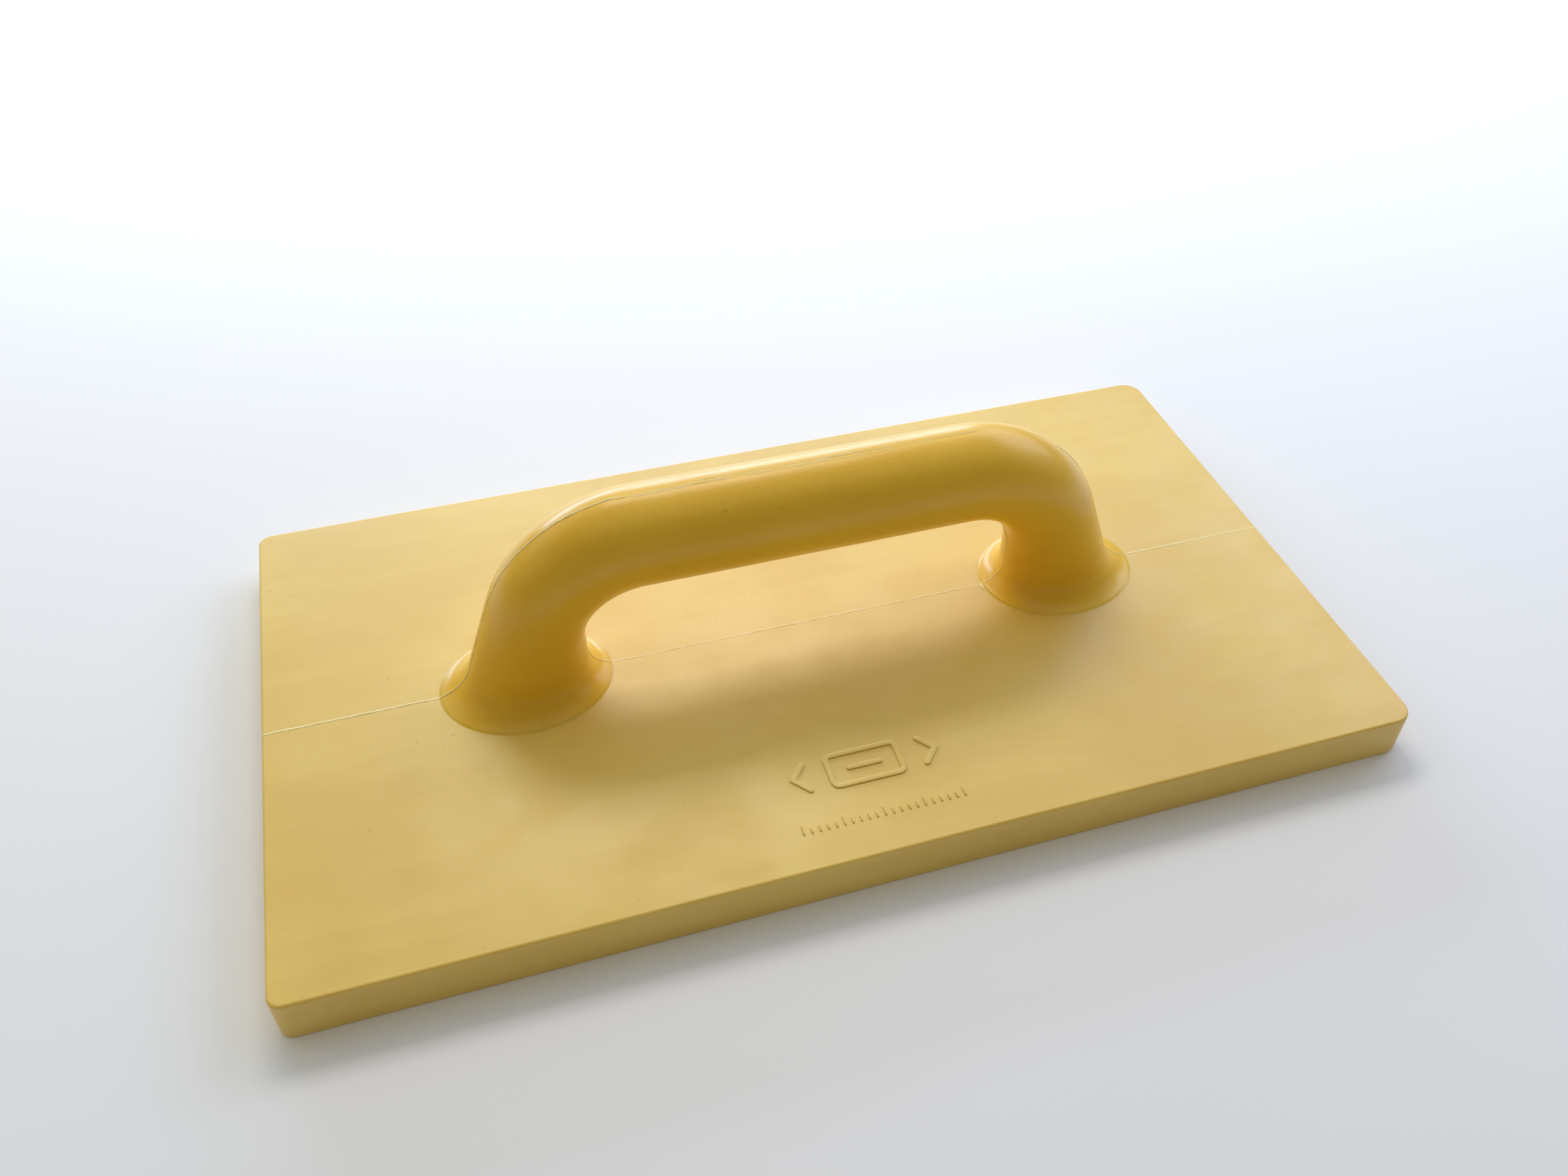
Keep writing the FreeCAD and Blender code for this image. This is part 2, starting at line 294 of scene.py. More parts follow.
@dataclass(frozen=True)
class FoamCore(Finish):
    """Rigid microcellular foam: a crowd of tiny closed cells with pale walls, and painted shade inside the
    cells.

    Attributes:
        shadow: Painted shade inside the cells.
        cell_count: Cells per metre.
    """

    shadow: Colour
    cell_count: float

    def surface(self, tree: Tree, place: Socket) -> dict[str, object]:
        """The foam's shader inputs: cells with pale walls that stand out, and painted shade inside them."""
        wall = tree.ranged(tree.cells(place, self.cell_count), 0.1, 0.55)
        # painted shade fills the cells' hollows, and the pale colour is on their walls
        colour = tree.mix(wall, self.shadow, self.pale)
        return {"Base Color": colour, "Roughness": MATT, "Normal": tree.bump(wall, 0.2 * MM)}


# ---------------------------------------------------------------- swept pieces


@dataclass(frozen=True)
class Section:
    """One cross-section of a swept piece: an oval round a centre.

    Attributes:
        centre: Middle of the section.
        up: Direction of its first half-width.
        side: Direction of its second half-width.
        rise: First half-width, along up.
        spread: Second half-width, along side.
        trim: 1 where the crest is scraped flat, 0 where it isn't.
    """

    centre: Vector
    up: Vector
    side: Vector
    rise: float
    spread: float
    trim: float = 0.0


class Recipe:
    """A Geometry Nodes tree with named inputs, whose result is one painted mesh.

    Attributes:
        NAME: The tree's name.
        NUMBERS: Its inputs and their usual values. A whole number makes a whole-number input.
    """

    NAME = "recipe"
    NUMBERS: dict[str, float] = {}

    def __init__(self) -> None:
        """Builds the tree once, for every piece that it makes."""
        self.group = bpy.data.node_groups.new(self.NAME, "GeometryNodeTree")
        self.sockets: dict[str, str] = {}
        self.add_input("Source", "Geometry")
        for name, value in self.NUMBERS.items():
            self.add_input(name, "Int" if isinstance(value, int) else "Float").default_value = value
        self.add_input("Finish", "Material")
        self.group.interface.new_socket("Mesh", in_out="OUTPUT", socket_type="NodeSocketGeometry")
        self.tree = Tree(self.group)
        self.given = self.tree.node("NodeGroupInput").outputs
        whole = self.tree.out("GeometryNodeRealizeInstances", {"Geometry": self.shape()})
        finish = {"Geometry": whole, "Material": self.given["Finish"]}
        self.tree.node("NodeGroupOutput", {0: self.tree.out("GeometryNodeSetMaterial", finish)})

    def add_input(self, name: str, kind: str) -> bpy.types.NodeTreeInterfaceSocket:
        """Adds a named input and notes its identifier.

        Args:
            name: The input's name.
            kind: Int, Float, Geometry or Material.

        Returns:
            The input.
        """
        socket = self.group.interface.new_socket(name, in_out="INPUT", socket_type=f"NodeSocket{kind}")
        self.sockets[name] = socket.identifier
        return socket

    def shape(self) -> Socket:
        """Adds the nodes that make the shape, which each recipe gives."""
        raise NotImplementedError

    def run(
        self, source: Object, name: str, finish: Material, **numbers: float
    ) -> Object:
        """Runs the tree on an object and keeps only the plain mesh that it makes.

        Args:
            source: The object that the tree starts from, which is removed.
            name: Name of the finished piece.
            finish: Its material.
            numbers: The tree's inputs, in lower case with underscores.

        Returns:
            The finished piece, with smooth faces that point outwards.
        """
        modifier = source.modifiers.new("recipe", "NODES")
        modifier.node_group = self.group
        modifier[self.sockets["Finish"]] = finish
        for key, value in numbers.items():
            modifier[self.sockets[key.replace("_", " ").title()]] = value
        bpy.context.view_layer.update()
        evaluated = source.evaluated_get(bpy.context.evaluated_depsgraph_get())
        mesh = bpy.data.meshes.new_from_object(evaluated)
        source.modifiers.remove(modifier)
        bpy.data.objects.remove(source)
        mesh.name = name
        face_outwards(mesh)
        return stand(name, mesh)


class Sweeper(Recipe):
    """Turns lines of sections into closed skins.

    A line's points carry the attributes up, side, rise, spread and trim. A circle is swept along it,
    and each of its points is then placed on its section's oval, with noise for waviness, raggedness
    and wander.
    """

    NAME = "sweep_of_sections"
    NUMBERS = {
        "Points Around": 24,
        "Crest Crowding": 0.0,
        "Squareness": 1.0,
        "Crest Scrape": 0.0,
        "Waviness": 0.0,
        "Wave Count": 60.0,
        "Raggedness": 0.0,
        "Rag Count": 900.0,
        "Wander": 0.0,
        "Seed": 0.0,
    }

    def named(self, name: str, kind: str = "FLOAT") -> Socket:
        """Reads an attribute of the line by name and type."""
        return self.tree.out("GeometryNodeInputNamedAttribute", {"Name": name}, data_type=kind)

    def stored(self, geometry, name: str, kind: str, value) -> Socket:
        """Stores a value on a geometry's points, as an attribute of that name and type."""
        inputs = {"Geometry": geometry, "Name": name, "Value": value}
        return self.tree.out("GeometryNodeStoreNamedAttribute", inputs, data_type=kind, domain="POINT")

    def ring(self) -> Socket:
        """The circle to sweep, whose points know their angle, crowded towards the crest."""
        tree, count = self.tree, self.given["Points Around"]
        inputs = {"Resolution": count, "Radius": MM}
        circle = tree.node("GeometryNodeCurvePrimitiveCircle", inputs, mode="RADIUS")
        share = tree.math("DIVIDE", tree.out("GeometryNodeInputIndex"), count)
        even = tree.math("MULTIPLY", share, math.tau)
        crowd = tree.math("MULTIPLY", tree.math("SINE", even), self.given["Crest Crowding"])
        return self.stored(circle.outputs[0], "angle", "FLOAT", tree.math("SUBTRACT", even, crowd))

    def squared(self, function: str) -> Socket:
        """The sine or cosine of a point's angle, pushed outwards where the section is squarer.

        Args:
            function: SINE or COSINE.

        Returns:
            The value, from -1 to 1.
        """
        value = self.tree.math(function, self.named("angle"))
        size = self.tree.math("POWER", self.tree.math("ABSOLUTE", value), self.given["Squareness"])
        return self.tree.math("MULTIPLY", size, self.tree.math("SIGN", value))

    def noise(self, place, scale, offset: float, detail: float) -> Socket:
        """Noise from about -1 to 1 that depends only on the place and the seed.

        Args:
            place: Where it is read.
            scale: Features per metre.
            offset: Keeps one use of the noise apart from another.
            detail: Octaves of finer noise.

        Returns:
            The noise.
        """
        moment = self.tree.math("ADD", self.given["Seed"], offset)
        inputs = {"Vector": place, "W": moment, "Scale": scale, "Detail": detail}
        value = self.tree.out("ShaderNodeTexNoise", inputs, noise_dimensions="4D")
        return self.tree.math("MULTIPLY_ADD", value, 4.0, -2.0)

    def shape(self) -> Socket:
        """Sweeps the circle and puts every point on its section's oval."""
        tree, given = self.tree, self.given
        place = tree.out("GeometryNodeInputPosition")
        line = self.stored(given["Source"], "centre", "FLOAT_VECTOR", place)
        path = tree.out("GeometryNodeMeshToCurve", {"Mesh": line})
        inputs = {"Curve": path, "Profile Curve": self.ring(), "Fill Caps": True}
        swept = tree.out("GeometryNodeCurveToMesh", inputs)

        centre = self.named("centre", "FLOAT_VECTOR")
        rag = self.noise(centre, given["Rag Count"], 0.0, 2)
        rag = tree.math("MULTIPLY_ADD", rag, given["Raggedness"], 1.0)
        rise = tree.math("MULTIPLY", self.named("rise"), tree.math("MAXIMUM", rag, LEAST_RAG))
        scrape = tree.math("MULTIPLY", self.named("trim"), given["Crest Scrape"])
        high = tree.math("MULTIPLY", self.squared("COSINE"), rise)
        high = tree.math("MINIMUM", high, tree.math("SUBTRACT", rise, scrape))
        wide = tree.math("MULTIPLY", self.squared("SINE"), self.named("spread"))
        slower = tree.math("MULTIPLY", given["Rag Count"], 0.4)
        wide = tree.math("MULTIPLY_ADD", self.noise(centre, slower, 5.0, 2), given["Wander"], wide)

        upwards = tree.vector("SCALE", a=self.named("up", "FLOAT_VECTOR"), scale=high)
        sideways = tree.vector("SCALE", a=self.named("side", "FLOAT_VECTOR"), scale=wide)
        target = tree.vector("ADD", a=centre, b=tree.vector("ADD", a=upwards, b=sideways))
        placed = tree.out("GeometryNodeSetPosition", {"Geometry": swept, "Position": target})

        wave = tree.math("MULTIPLY", self.noise(place, given["Wave Count"], 0.0, 1), given["Waviness"])
        swell = tree.vector("SCALE", a=tree.out("GeometryNodeInputNormal"), scale=wave)
        return tree.out("GeometryNodeSetPosition", {"Geometry": placed, "Offset": swell})

    def line(self, name: str, runs: list[list[Section]], closed: bool) -> Object:
        """Lays sections out as the points of one line or more.

        Args:
            name: Name of the line's object.
            runs: One list of sections for each line.
            closed: Whether each line's end joins its start.

        Returns:
            An object whose mesh is the lines, with the sections' sizes as attributes.
        """
        sections = [section for run in runs for section in run]
        edges = []
        start = 0
        for run in runs:
            edges += [(start + i, start + i + 1) for i in range(len(run) - 1)]
            if closed:
                edges.append((start + len(run) - 1, start))
            start += len(run)
        mesh = bpy.data.meshes.new(name)
        mesh.from_pydata([section.centre for section in sections], edges, [])
        for label in ("up", "side"):
            attribute = mesh.attributes.new(label, "FLOAT_VECTOR", "POINT")
            values = [part for section in sections for part in getattr(section, label)]
            attribute.data.foreach_set("vector", values)
        for label in ("rise", "spread", "trim"):
            attribute = mesh.attributes.new(label, "FLOAT", "POINT")
            attribute.data.foreach_set("value", [getattr(section, label) for section in sections])
        return stand(name, mesh)

    def sweep(
        self, name: str, runs: list[list[Section]], finish: Material, closed=False, **numbers: float
    ) -> Object:
        """Sweeps each list of sections, or each loop of them, into a closed skin of one piece."""
        return self.run(self.line(f"{name}_line", runs, closed), name, finish, **numbers)


def stand(name: str, data: bpy.types.ID) -> Object:
    """Adds an object to the scene.

    Args:
        name: The object's name.
        data: Its mesh, light or camera.

    Returns:
        The object, at the origin.
    """
    thing = bpy.data.objects.new(name, data)
    bpy.context.scene.collection.objects.link(thing)
    return thing


def face_outwards(mesh: bpy.types.Mesh) -> None:
    """Merges a closed mesh's doubles, turns its faces outwards and makes them smooth."""
    work = bmesh.new()
    work.from_mesh(mesh)
    bmesh.ops.remove_doubles(work, verts=work.verts, dist=DOUBLES_GAP)
    bmesh.ops.dissolve_degenerate(work, edges=work.edges, dist=SHORTEST_EDGE)
    bmesh.ops.recalc_face_normals(work, faces=work.faces)
    for face in work.faces:
        face.smooth = True
    work.to_mesh(mesh)
    work.free()
    mesh.update()


def settle(piece: Object, slot: Slot, *nodes: str) -> None:
    """Fixes a finished piece to the float's body, hides the CAD nodes that it replaces and logs its size.

    Args:
        piece: The finished piece.
        slot: The record's material slot. Not used.
        nodes: CAD nodes that the piece replaces, if any.
    """
    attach(piece, BODY)
    if nodes:
        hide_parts(*nodes)
    low = Vector(tuple(min(v.co[i] for v in piece.data.vertices) for i in range(3)))
    high = Vector(tuple(max(v.co[i] for v in piece.data.vertices) for i in range(3)))
    size = (high - low) / MM
    log.info("%s: %d faces, %.1f x %.1f x %.1f mm", piece.name, len(piece.data.polygons), *size)


def smooth_step(value: float) -> float:
    """Eases a value from 0 to 1, held at both ends."""
    value = min(max(value, 0.0), 1.0)
    return value * value * (3 - 2 * value)


def level_way(degrees: float) -> Vector:
    """A level direction, turned anticlockwise from +X as seen from above."""
    turn = math.radians(degrees)
    return Vector((math.cos(turn), math.sin(turn), 0))


def upright_way(degrees: float) -> Vector:
    """A direction in the plane of the handle, turned from straight up towards +X."""
    turn = math.radians(degrees)
    return Vector((math.sin(turn), 0, math.cos(turn)))


def studio_way(azimuth: float, elevation: float) -> Vector:
    """The way to a place round the float, from degrees towards +X and above the horizon."""
    turn, climb = math.radians(azimuth), math.radians(elevation)
    return Vector((math.sin(turn) * math.cos(climb), -math.cos(turn) * math.cos(climb), math.sin(climb)))


# ---------------------------------------------------------------- the board


@dataclass
class Board:
    """The flat board: a slab whose edges and upright corners are rounded.

    Attributes:
        left_corner: Radius of the upright corners at the -X end.
        right_corner: Radius of the upright corners at the +X end.
        top_edge: Radius round the top face.
        sole_edge: Radius round the sole.
        corner_steps: Faces round an upright corner.
        edge_steps: Faces round a long edge.
        side_steps: Faces along a long side.
    """

    left_corner: float = 4.5 * MM
    right_corner: float = 7 * MM
    top_edge: float = 1.0 * MM
    sole_edge: float = 0.4 * MM
    corner_steps: int = 12
    edge_steps: int = 8
    side_steps: int = 90

    def __post_init__(self) -> None:
        """Reads the board's box from the frame."""
        self.low, self.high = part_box("board_skin")

    @property
    def top(self) -> float:
        """Height of the top face."""
        return self.high.z

    def corner_points(self, x_sign: int, y_sign: int, inset: float) -> list[Vector]:
        """Points round one upright corner, anticlockwise seen from above.

        Args:
            x_sign: -1 for the left end, 1 for the right.
            y_sign: -1 for the near side, 1 for the far side.
            inset: How far in from the board's outline.

        Returns:
            The points, at height 0.
        """
        full = self.left_corner if x_sign < 0 else self.right_corner
        centre = Vector((x_sign * (self.high.x - full), y_sign * (self.high.y - full), 0))
        turns = [CORNERS[x_sign, y_sign] + 90 * i / self.corner_steps for i in range(self.corner_steps + 1)]
        return [centre + (full - inset) * level_way(turn) for turn in turns]

    def outline(self, inset: float) -> list[Vector]:
        """The board's outline, with points along its straight sides too.

        Args:
            inset: How far in from the board's outline.

        Returns:
            The points, anticlockwise seen from above, at height 0.
        """
        corners = [self.corner_points(x, y, inset) for x, y in CORNERS]
        points: list[Vector] = []
        for corner, following in zip(corners, corners[1:] + corners[:1]):
            points += corner
            side = following[0] - corner[-1]
            steps = self.side_steps if abs(side.x) > abs(side.y) else self.side_steps // 2
            points += [corner[-1] + side * (i / steps) for i in range(1, steps)]
        return points

    def profile(self) -> list[tuple[float, float]]:
        """The board's side from sole to top, as insets and heights."""
        sole, top = self.sole_edge, self.top_edge
        steps = [math.radians(90 * i / self.edge_steps) for i in range(self.edge_steps + 1)]
        lower = [(sole * (1 - math.sin(turn)), sole * (1 - math.cos(turn))) for turn in steps]
        wall = [(0.0, self.top * share) for share in (0.3, 0.5, 0.7)]
        upper = [(top * (1 - math.cos(turn)), self.top - top * (1 - math.sin(turn))) for turn in steps]
        return lower + wall + upper

    def dress(self, finish: Material) -> None:
        """Makes the board's closed mesh and gives it its finish.

        Args:
            finish: The board's material.
        """
        work = bmesh.new()
        rings = []
        for inset, height in self.profile():
            rings.append([work.verts.new((point.x, point.y, height)) for point in self.outline(inset)])
        for lower, upper in zip(rings, rings[1:]):
            for i in range(len(lower)):
                j = (i + 1) % len(lower)
                work.faces.new((lower[i], lower[j], upper[j], upper[i]))
        bmesh.ops.triangulate(work, faces=[work.faces.new(rings[0]), work.faces.new(rings[-1])])
        mesh = bpy.data.meshes.new("board")
        work.to_mesh(mesh)
        work.free()
        face_outwards(mesh)
        mesh.materials.append(finish)
        settle(stand("board", mesh), Slot.BOARD, "board_skin")


# ---------------------------------------------------------------- the handle


GRIP_STEPS, BEND_STEPS, SHOULDER_STEPS = 24, 40, 10
LEG_STEPS, FLARE_STEPS, RIM_STEPS = 5, 24, 14
CREST_SCRAPE = 0.05 * MM  # how deep the crest is scraped flat


@dataclass
class BowHandle:
    """The handle: a round grip, two bends, two legs that grow downwards, and two flared feet.

    Attributes:
        grip_radius: Radius of the grip.
        bend_offset: Middle of the handle to the centre of a bend.
        bend_radius: Bend of the grip's axis.
        bend_turn: Turn of a bend before its leg starts, in degrees.
        flare_radius: Hollow sweep from a leg to its rim.
        flare_turn: Turn of that sweep, in degrees.
        rim_lip: How far the rim stands out past the sweep.
        sink: How far the feet run into the board.
        trim_start: X where the scraped part of the crest starts.
        trim_turn: Turn of the right bend where the scraped part ends, in degrees.
    """

    grip_radius: float = 16.25 * MM
    bend_offset: float = 54.6 * MM
    bend_radius: float = 36.4 * MM
    bend_turn: float = 70
    flare_radius: float = 9.6 * MM
    flare_turn: float = 70
    rim_lip: float = 1.2 * MM
    sink: float = 0.3 * MM
    trim_start: float = -58 * MM
    trim_turn: float = 38

    def __post_init__(self) -> None:
        """Reads the handle's height from the frame."""
        self.board_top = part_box("board_skin")[1].z
        self.grip_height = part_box("handle_skin")[1].z - self.grip_radius
        self.bend_height = self.grip_height - self.bend_radius
        self.outer = self.bend_radius + self.grip_radius
        self.inner = self.bend_radius - self.grip_radius

    def trim_at(self, x: float, turn: float) -> float:
        """How far the crest is scraped at a place.

        Args:
            x: Place along the handle.
            turn: Turn of the bend there, in degrees, or 0 on the grip.

        Returns:
            From 0 to 1.
        """
        start = smooth_step((x - self.trim_start) / (6 * MM) + 0.5)
        end = 1.0 if x < self.bend_offset else smooth_step((self.trim_turn - turn) / 3 + 0.5)
        return start * end

    def level(self, height: float, spread: float) -> Section:
        """A level section of the right leg.

        Args:
            height: Its height.
            spread: How far the flare stands out there.

        Returns:
            The section.
        """
        turn = math.radians(self.bend_turn)
        lean = (self.bend_height - height) / math.tan(turn)
        outer = self.bend_offset + self.outer / math.sin(turn) + lean + spread
        inner = self.bend_offset + self.inner - spread
        centre = Vector(((outer + inner) / 2, 0, height))
        return Section(centre, ALONG, ACROSS, (outer - inner) / 2, self.grip_radius + spread)

    def grip(self, side: Side) -> list[Section]:
        """Sections from the middle of the grip to the bend.

        Args:
            side: The end that the sections are for, which sets where the crest is scraped.

        Returns:
            The sections of the right end.
        """
        sections = []
        for step in range(GRIP_STEPS):
            centre = Vector((self.bend_offset * step / GRIP_STEPS, 0, self.grip_height))
            trim = self.trim_at(side.value * centre.x, 0)
            sections.append(Section(centre, UP, ACROSS, self.grip_radius, self.grip_radius, trim))
        return sections

    def bend(self, side: Side) -> list[Section]:
        """Sections round the bend and on to where the leg's sections are level.

        Args:
            side: The end that the sections are for, which sets where the crest is scraped.

        Returns:
            The sections of the right end.
        """
        sections = []
        hub = Vector((self.bend_offset, 0, self.bend_height))
        for step in range(BEND_STEPS):
            turn = self.bend_turn * step / BEND_STEPS
            centre = hub + self.bend_radius * upright_way(turn)
            trim = self.trim_at(side.value * centre.x, turn)
            radius = self.grip_radius
            sections.append(Section(centre, upright_way(turn), ACROSS, radius, radius, trim))
        for step in range(SHOULDER_STEPS):
            turn = self.bend_turn + (90 - self.bend_turn) * step / SHOULDER_STEPS
            outer = self.outer / math.cos(math.radians(turn - self.bend_turn))
            centre = hub + (outer + self.inner) / 2 * upright_way(turn)
            rise = (outer - self.inner) / 2
            sections.append(Section(centre, upright_way(turn), ACROSS, rise, self.grip_radius))
        return sections

    def hollow(self, share: float) -> tuple[float, float]:
        """Height and spread at a share of the way down the flare's hollow sweep."""
        turn, radius = math.radians(self.flare_turn * share), self.flare_radius
        return self.board_top + radius * (1 - math.sin(turn)), radius * (1 - math.cos(turn))

    def foot(self) -> list[Section]:
        """Sections of the straight leg, the flare and the rim, which rolls over into the board."""
        fall = self.board_top + self.flare_radius - self.bend_height
        sections = [self.level(self.bend_height + fall * i / LEG_STEPS, 0) for i in range(LEG_STEPS)]
        sections += [self.level(*self.hollow(i / FLARE_STEPS)) for i in range(FLARE_STEPS + 1)]
        top, spread = self.hollow(1)
        for step in range(1, RIM_STEPS + 1):
            share = step / RIM_STEPS
            roll = 0.5 * share + 0.5 * smooth_step(share)
            sections.append(self.level(top - (top - self.board_top) * roll, spread + self.rim_lip * share))
        sections.append(self.level(self.board_top - self.sink, spread + self.rim_lip))
        return sections

    def half(self, side: Side) -> list[Section]:
        """Sections from the middle of the grip to the foot of one end."""
        sections = self.grip(side) + self.bend(side) + self.foot()
        return sections if side is Side.RIGHT else [mirrored(section) for section in sections]

    def dress(self, sweeper: Sweeper, finish: Material) -> None:
        """Makes the handle and gives it its finish.

        Args:
            sweeper: Makes the swept skin.
            finish: The handle's material.
        """
        handle = sweeper.sweep(
            "handle",
            [self.half(Side.LEFT)[:0:-1] + self.half(Side.RIGHT)],
            finish,
            points_around=144,
            crest_crowding=0.55,
            crest_scrape=CREST_SCRAPE,
            waviness=0.05 * MM,
            wave_count=45.0,
            seed=3.0,
        )
        settle(handle, Slot.HANDLE, "handle_skin")


def mirrored(section: Section) -> Section:
    """The same section at the other end of the float."""
    flip = Vector((-1, 1, 1))
    return replace(section, centre=section.centre * flip, up=section.up * flip)


# ---------------------------------------------------------------- the flash line


# Start, end and place across the crest of each scar, in millimetres.
SCAR_SPANS = (
    (-60, -24, -0.7),
    (-56, -38, -1.25),
    (-50, 8, -0.1),
    (-20, 44, -0.85),
    (4, 58, 0.5),
    (-34, 20, 0.95),
)


@dataclass
class FlashLine:
    """The thin ragged ridge that the mould's joint leaves along the middle of the float.

    Attributes:
        board: The board that it crosses.
        handle: The handle that it climbs.
        pitch: Distance between its sections.
        sink: How far its middle lies under the surface.
    """

    board: Board
    handle: BowHandle
    pitch: float = 0.45 * MM
    sink: float = 0.02 * MM

    def resampled(self, corners: list[Vector]) -> list[Vector]:
        """Points at even distances along a line.

        Args:
            corners: The line's own points.

        Returns:
            The evenly spaced points, both ends included.
        """
        points = [corners[0]]
        carried = 0.0
        for start, end in zip(corners, corners[1:]):
            length = (end - start).length
            place = self.pitch - carried
            while place < length:
                points.append(start.lerp(end, place / length))
                place += self.pitch
            carried = length - (place - self.pitch)
        if (points[-1] - corners[-1]).length > 0.3 * self.pitch:
            points.append(corners[-1])
        return points

    def ridge(
        self, corners: list[Vector], outside: Vector, height: float, width: float, faint: float
    ) -> list[Section]:
        """Sections of one ridge, laid on a line in the plane of the mould's joint.

        Args:
            corners: The line that it follows.
            outside: A direction that points away from the surface at the line's start.
            height: The ridge's usual height.
            width: Its usual width.
            faint: Share of its height that is left at its far end.

        Returns:
            The sections, tapered at both ends.
        """
        points = self.resampled(corners)
        sections = []
        turned = 1.0
        for number, point in enumerate(points):
            before = points[max(number - 1, 0)]
            after = points[min(number + 1, len(points) - 1)]
            up = (after - before).normalized().cross(ACROSS)
            if number == 0:
                turned = 1.0 if up.dot(outside) > 0 else -1.0
            up = up * turned
            share = number / (len(points) - 1)
            ends = min(1.0, 0.25 + min(number, len(points) - 1 - number) / 5)
            rise = height * (1 + (faint - 1) * share) * ends
            sections.append(Section(point - self.sink * up, up, ACROSS, rise, width / 2))
        return sections

    def handle_line(self, side: Side, sign: int) -> list[Vector]:
        """The handle's outline above the mould's joint, from the middle of the grip to a foot.

        Args:
            side: Which end of the float.
            sign: 1 for the crest and outer side, -1 for the underside and inner side.

        Returns:
            The outline's points.
        """
        return [section.centre + sign * section.rise * section.up for section in self.handle.half(side)[:-1]]

    def end_line(self, side: Side, foot: float) -> list[Vector]:
        """The line from a foot along the top, round the edge and down an end face.

        Args:
            side: Which end of the float.
            foot: X of the foot's rim.

        Returns:
            The line's points.
        """
        board, sign, edge = self.board, side.value, self.board.top_edge
        points = [Vector((foot, 0, board.top))]
        hub = Vector((board.high.x - edge, 0, board.top - edge))
        for step in range(board.edge_steps + 1):
            point = hub + edge * upright_way(90 * step / board.edge_steps)
            points.append(Vector((sign * point.x, 0, point.z)))
        return points + [Vector((sign * board.high.x, 0, board.sole_edge))]

    def foot_smear(self) -> list[Section]:
        """Sections of the rough dab of flash at the inner side of the right foot."""
        rim = self.handle.half(Side.RIGHT)[-2]
        reach = rim.rise + 0.1 * MM
        sections = []
        steps = 10
        for step in range(steps + 1):
            share = step / steps
            y = 0.8 * MM - 4.6 * MM * share
            x = rim.centre.x - reach * math.sqrt(1 - (y / rim.spread) ** 2)
            bulk = math.sin(math.pi * min(max(share, 0.08), 0.92)) ** 0.6
            place = Vector((x, y, self.board.top - self.sink))
            sections.append(Section(place, UP, ALONG, 0.5 * MM * bulk, 0.65 * MM * bulk))
        return sections

    def runs(self) -> list[list[Section]]:
        """Every ridge of the flash line."""
        left_outer, right_outer = (self.handle_line(side, 1) for side in Side)
        left_inner, right_inner = (self.handle_line(side, -1) for side in Side)
        start, turn = self.handle.trim_start, math.radians(self.handle.trim_turn)
        stop = self.handle.bend_offset + self.handle.outer * math.sin(turn)
        climbing = [point for point in reversed(left_outer) if point.x < start]
        falling = [point for point in right_outer if point.x > stop]
        underside = list(reversed(left_inner)) + right_inner[1:]
        top = self.board.top
        between = [Vector((left_inner[-1].x, 0, top)), Vector((right_inner[-1].x, 0, top))]
        return [
            self.ridge(self.end_line(Side.LEFT, left_outer[-1].x), UP, 0.13 * MM, 0.85 * MM, 0.8),
            self.ridge(climbing, -ALONG, 0.26 * MM, 0.6 * MM, 0.8),
            self.ridge(falling, UP, 0.2 * MM, 0.44 * MM, 1.0),
            self.ridge(self.end_line(Side.RIGHT, right_outer[-1].x), UP, 0.1 * MM, 0.7 * MM, 0.45),
            self.ridge(underside, ALONG, 0.16 * MM, 0.42 * MM, 1.0),
            self.ridge(between, UP, 0.07 * MM, 0.6 * MM, 1.2),
            self.foot_smear(),
        ]

    def scars(self) -> list[list[Section]]:
        """The fine lines that scraping left along the crest."""
        radius = self.handle.grip_radius
        runs = []
        for low, high, y in SCAR_SPANS:
            drop = radius - math.sqrt(radius**2 - (y * MM) ** 2)
            height = self.handle.grip_height + radius - max(drop, CREST_SCRAPE)
            corners = [Vector((x * MM, y * MM, height)) for x in (low, high)]
            runs.append(self.ridge(corners, UP, 0.09 * MM, 0.28 * MM, 0.8))
        return runs

    def dress(self, sweeper: Sweeper, finish: Material) -> None:
        """Makes the ridges and the scars.

        Args:
            sweeper: Makes the swept ridges.
            finish: Their material, whose pale colours are painted glow.
        """
        rough = {"points_around": 8, "raggedness": 0.75, "rag_count": 420.0, "wander": 0.2 * MM, "seed": 11.0}
        settle(sweeper.sweep("flash_line", self.runs(), finish, **rough), Slot.HANDLE)
        fine = {"points_around": 6, "raggedness": 0.6, "rag_count": 520.0, "wander": 0.1 * MM, "seed": 23.0}
        settle(sweeper.sweep("crest_scars", self.scars(), finish, **fine), Slot.HANDLE)


# ---------------------------------------------------------------- the raised mark


